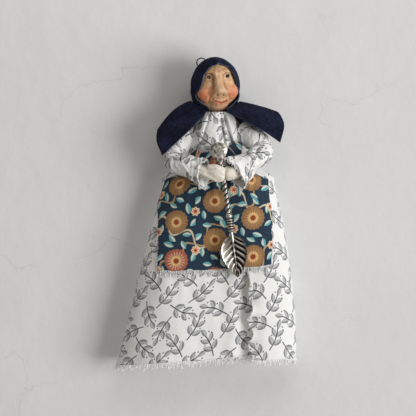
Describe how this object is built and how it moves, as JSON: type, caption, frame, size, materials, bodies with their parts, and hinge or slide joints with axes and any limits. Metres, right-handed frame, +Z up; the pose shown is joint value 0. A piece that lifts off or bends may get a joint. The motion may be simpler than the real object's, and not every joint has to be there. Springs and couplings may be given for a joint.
{
  "type": "hanging cloth doll",
  "caption": "Hanging kitchen witch doll: clay head in a felt hood and cape, printed cotton dress and apron, stuffed arms clasping a leaf spoon.",
  "frame": {"origin": "where a nail bears at the top of the hanging loop's eye", "axes": "+Z up along the doll, +Y towards the wall behind its back, -Y towards the viewer"},
  "size_m": [0.1432, 0.0495, 0.2466],
  "materials": {
    "clay": "baked modelling clay, painted and waxed",
    "eyes": "polished dark beads",
    "felt": "navy wool felt",
    "cord": "black waxed cord",
    "wood": "plain beech dowel",
    "muslin": "unbleached muslin, stuffed",
    "leaf_cotton": "white cotton with a grey leaf print",
    "apron_cotton": "navy cotton with a floral print and a frayed hem",
    "silver": "polished silver plate, darkened in the veins"
  },
  "bodies": {
    "doll": {"stuffed_body": "muslin", "neck_dowel": "wood", "neck_thread": "cord", "bodice": "leaf_cotton", "upper_arm_left": "muslin", "upper_arm_right": "muslin", "upper_sleeve_left": "leaf_cotton", "upper_sleeve_right": "leaf_cotton", "cape": "felt", "skirt_front": "leaf_cotton", "skirt_overlap": "leaf_cotton", "skirt_back": "leaf_cotton", "apron": "apron_cotton"},
    "head": {"head": "clay", "eye_left": "eyes", "eye_right": "eyes", "hood": "felt"},
    "hanging_loop": {"hanging_loop": "cord"},
    "forearms": {"lower_sleeve_left": "leaf_cotton", "lower_sleeve_right": "leaf_cotton", "forearm_left": "muslin", "forearm_right": "muslin"},
    "spoon": {"spoon": "silver"}
  },
  "joints": [
    {"name": "head_turn", "type": "hinge", "parent": "doll", "child": "head", "pos_m": [0.01281, -0.0095, -0.02173], "axis": [0, 0, 1], "range_deg": [-20, 20]},
    {"name": "loop_flop", "type": "hinge", "parent": "head", "child": "hanging_loop", "pos_m": [0.00307, 0, -0.00456], "axis": [0.829, 0, 0.5592], "range_deg": [-80, 25]},
    {"name": "forearm_lift", "type": "hinge", "parent": "doll", "child": "forearms", "pos_m": [0.01556, -0.01725, -0.07598], "axis": [-0.9947, -0.0288, -0.0987], "range_deg": [0, 12]},
    {"name": "spoon_slide", "type": "slide", "parent": "forearms", "child": "spoon", "axis": [-0.1425, -0.0454, 0.9888], "range_m": [0, 0.012]}
  ]
}
